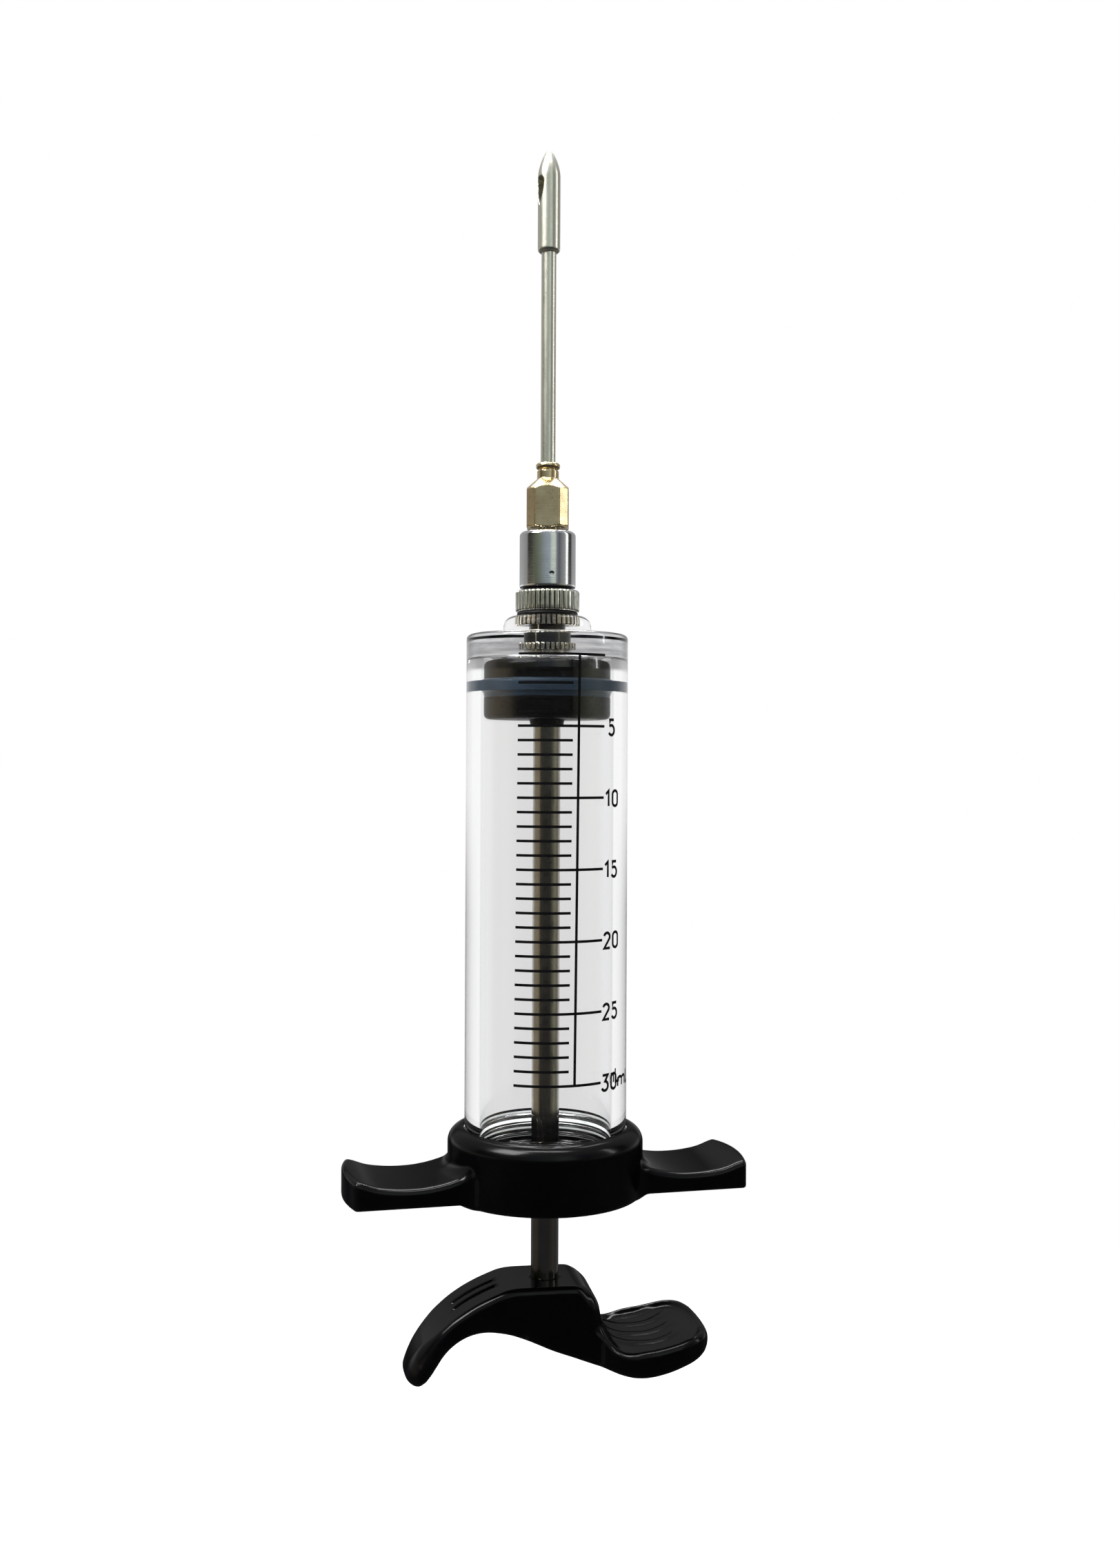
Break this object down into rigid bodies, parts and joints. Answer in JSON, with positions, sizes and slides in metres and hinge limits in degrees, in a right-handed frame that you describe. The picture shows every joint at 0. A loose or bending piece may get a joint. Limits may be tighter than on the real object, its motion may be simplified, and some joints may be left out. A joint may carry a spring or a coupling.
{
  "type": "meat injector",
  "caption": "Clear-barrel metal-nozzle marinade syringe with a finger grip, palm handle and a closed-point side-port needle.",
  "frame": {"origin": "centre of the finger grip's underside, on the plunger axis", "axes": "+Z along the plunger axis towards the needle point, +X along the finger wing above the thumb pad, -Y the side with the printed scale"},
  "size_m": [0.0718, 0.0342, 0.2147],
  "materials": {
    "clear_plastic": "polished, clear",
    "nickel": "bright plated",
    "black_rubber": "satin",
    "chrome_plate": "polished",
    "brass_hub": "machined, polished",
    "needle_steel": "drawn, polished",
    "piston_plastic": "satin",
    "brass_bush": "machined",
    "silicone": "smooth",
    "rod_steel": "polished",
    "black_plastic": "moulded, glossy"
  },
  "bodies": {
    "barrel": {"barrel": "clear_plastic", "nozzle_insert": "nickel"},
    "finger_grip": {"finger_grip": "black_plastic"},
    "seal": {"piston_seal": "silicone"},
    "plunger": {"plunger_rod": "rod_steel", "piston_front_disc": "piston_plastic", "piston_bush": "brass_bush", "piston_rear_disc": "piston_plastic", "palm_handle": "black_plastic", "handle_bush": "brass_bush"},
    "gasket": {"nozzle_gasket": "black_rubber"},
    "connector": {"luer_connector": "nickel", "chrome_sleeve": "chrome_plate"},
    "needle": {"needle_hub": "brass_hub", "needle_tube": "needle_steel", "needle_point": "needle_steel"}
  },
  "joints": [
    {"name": "grip_turn", "type": "hinge", "parent": "barrel", "child": "finger_grip", "pos_m": [0, 0, 0.0076], "axis": [0, 0, -1], "range_deg": [0, 90]},
    {"name": "plunger_slide", "type": "slide", "parent": "barrel", "child": "seal", "axis": [0, 0, -1], "range_m": [-0.0003, 0.078]},
    {"name": "plunger_turn", "type": "hinge", "parent": "seal", "child": "plunger", "pos_m": [0, 0, 0.088], "axis": [0, 0, 1], "continuous": true},
    {"name": "connector_lift", "type": "slide", "parent": "barrel", "child": "gasket", "axis": [0, 0, 1], "range_m": [0, 0.0045]},
    {"name": "connector_turn", "type": "hinge", "parent": "gasket", "child": "connector", "pos_m": [0, 0, 0.1035], "axis": [0, 0, 1], "range_deg": [0, 2160]},
    {"name": "needle_pull", "type": "slide", "parent": "connector", "child": "needle", "axis": [0, 0, 1], "range_m": [0, 0.015]}
  ],
  "couplings": [
    {"joint": "connector_lift", "follows": "connector_turn", "m_per_rad": 0.00011141}
  ]
}
